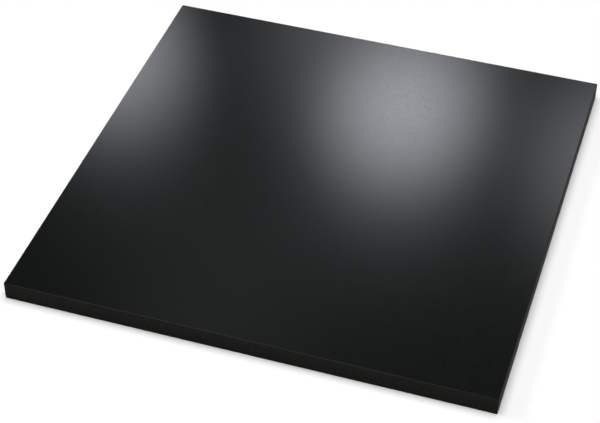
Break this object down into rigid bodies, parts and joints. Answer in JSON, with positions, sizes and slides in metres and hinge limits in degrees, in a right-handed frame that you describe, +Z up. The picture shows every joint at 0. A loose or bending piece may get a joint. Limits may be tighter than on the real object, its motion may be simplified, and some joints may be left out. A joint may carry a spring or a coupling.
{
  "type": "granite slab",
  "caption": "Flat square plate of honed black granite with finely eased edges, a firm flat base for striking, cutting and skiving leather.",
  "frame": {"origin": "centre of the underside, where the slab rests on the bench", "axes": "+Z up out of the honed work face, X along the front edge, Y from front to back"},
  "size_m": [0.5, 0.5, 0.02],
  "materials": {
    "black_granite": "honed satin black granite, fine grained"
  },
  "bodies": {
    "root": {"granite_slab": "black_granite"}
  },
  "joints": []
}
